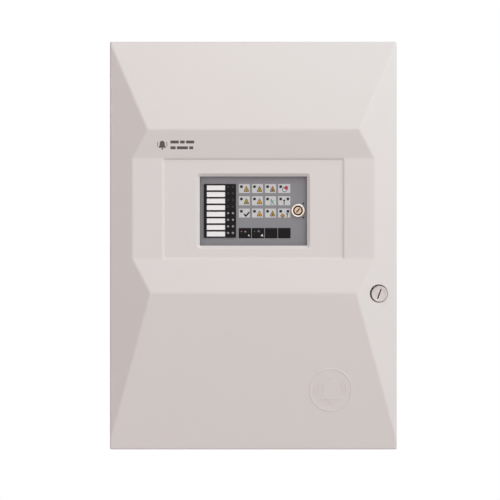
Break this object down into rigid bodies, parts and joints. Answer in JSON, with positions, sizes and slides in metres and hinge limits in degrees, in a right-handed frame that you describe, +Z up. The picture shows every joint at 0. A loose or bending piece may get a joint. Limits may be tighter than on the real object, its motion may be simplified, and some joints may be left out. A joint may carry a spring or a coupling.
{
  "type": "fire alarm control panel",
  "caption": "Wall-mounted fire alarm control panel with a faceted hinged door, a display window with keys and a key switch, and a power supply with batteries inside.",
  "frame": {"origin": "centre of the box's back face, on the wall", "axes": "+X to the right seen from the front, +Y into the wall, +Z up"},
  "size_m": [0.287, 0.1088, 0.408],
  "materials": {
    "moulded_off_white": "fine moulded texture",
    "fascia_grey": "printed matt film",
    "black_plastic": "satin",
    "label_white": "matt",
    "light_guide": "clear and polished",
    "zinc_plate": "zinc plated",
    "chrome": "polished",
    "brass": "turned",
    "circuit_board": "solder mask",
    "terminal_green": "satin",
    "grommet_rubber": "matt",
    "plug_white": "satin",
    "transformer_iron": "varnished laminations",
    "winding_tape": "wrapped tape",
    "capacitor_sleeve": "shrink sleeve",
    "battery_case": "moulded",
    "red_insulation": "insulation",
    "black_insulation": "insulation",
    "blue_insulation": "insulation"
  },
  "bodies": {
    "root": {"back_box": "moulded_off_white", "fascia_plate": "fascia_grey", "ribbon_cable": "fascia_grey", "zone_mask": "black_plastic", "key_switch_1": "black_plastic", "key_switch_2": "black_plastic", "key_switch_3": "black_plastic", "key_switch_4": "black_plastic", "relay_1": "black_plastic", "relay_2": "black_plastic", "processor_chip": "black_plastic", "sounder": "black_plastic", "mains_terminals": "black_plastic", "zone_label_card": "label_white", "fuse_holder": "label_white", "zone_light_guide_upper": "light_guide", "zone_light_guide_lower": "light_guide", "status_light_guide_1": "light_guide", "status_light_guide_2": "light_guide", "status_light_guide_3": "light_guide", "hinge_pin_upper": "zinc_plate", "hinge_pin_lower": "zinc_plate", "latch_strike": "zinc_plate", "module_chassis": "zinc_plate", "fascia_screw_1": "zinc_plate", "fascia_screw_2": "zinc_plate", "fascia_screw_3": "zinc_plate", "fascia_screw_4": "zinc_plate", "regulator_heat_sink": "zinc_plate", "battery_strap": "zinc_plate", "keylock_body": "chrome", "keylock_nut": "chrome", "display_board": "circuit_board", "main_board": "circuit_board", "zone_terminals": "terminal_green", "output_terminals": "terminal_green", "cable_grommet_1": "grommet_rubber", "cable_grommet_2": "grommet_rubber", "cable_grommet_3": "grommet_rubber", "transformer_core": "transformer_iron", "transformer_winding": "winding_tape", "smoothing_capacitor": "capacitor_sleeve", "battery_1": "battery_case", "battery_2": "battery_case", "battery_lead_positive": "red_insulation", "battery_lead_negative": "black_insulation", "battery_link": "blue_insulation"},
    "door": {"door_cover": "moulded_off_white", "lock_barrel": "zinc_plate", "lock_nut": "zinc_plate"},
    "lock_spindle": {"lock_plug": "plug_white", "lock_cam": "zinc_plate", "cam_screw": "zinc_plate"},
    "keylock_rotor": {"keylock_rotor": "brass"},
    "key_1": {"key_1": "black_plastic"},
    "key_2": {"key_2": "black_plastic"},
    "key_3": {"key_3": "black_plastic"},
    "key_4": {"key_4": "black_plastic"}
  },
  "joints": [
    {"name": "door_hinge", "type": "hinge", "parent": "root", "child": "door", "pos_m": [-0.14, -0.0819, 0.03455], "axis": [0, 0, -1], "range_deg": [0, 95]},
    {"name": "door_lock_turn", "type": "hinge", "parent": "door", "child": "lock_spindle", "pos_m": [0.1259, -0.0972, -0.0483], "axis": [0, -1, 0], "range_deg": [0, 90]},
    {"name": "keylock_turn", "type": "hinge", "parent": "root", "child": "keylock_rotor", "pos_m": [0.0446, -0.0937, 0.0351], "axis": [0, 1, 0], "range_deg": [0, 90]},
    {"name": "key_1_press", "type": "slide", "parent": "root", "child": "key_1", "axis": [0, 1, 0], "range_m": [0, 0.0009], "stiffness_N_per_m": 500, "springref_m": -0.0005},
    {"name": "key_2_press", "type": "slide", "parent": "root", "child": "key_2", "axis": [0, 1, 0], "range_m": [0, 0.0009], "stiffness_N_per_m": 500, "springref_m": -0.0005},
    {"name": "key_3_press", "type": "slide", "parent": "root", "child": "key_3", "axis": [0, 1, 0], "range_m": [0, 0.0009], "stiffness_N_per_m": 500, "springref_m": -0.0005},
    {"name": "key_4_press", "type": "slide", "parent": "root", "child": "key_4", "axis": [0, 1, 0], "range_m": [0, 0.0009], "stiffness_N_per_m": 500, "springref_m": -0.0005}
  ]
}
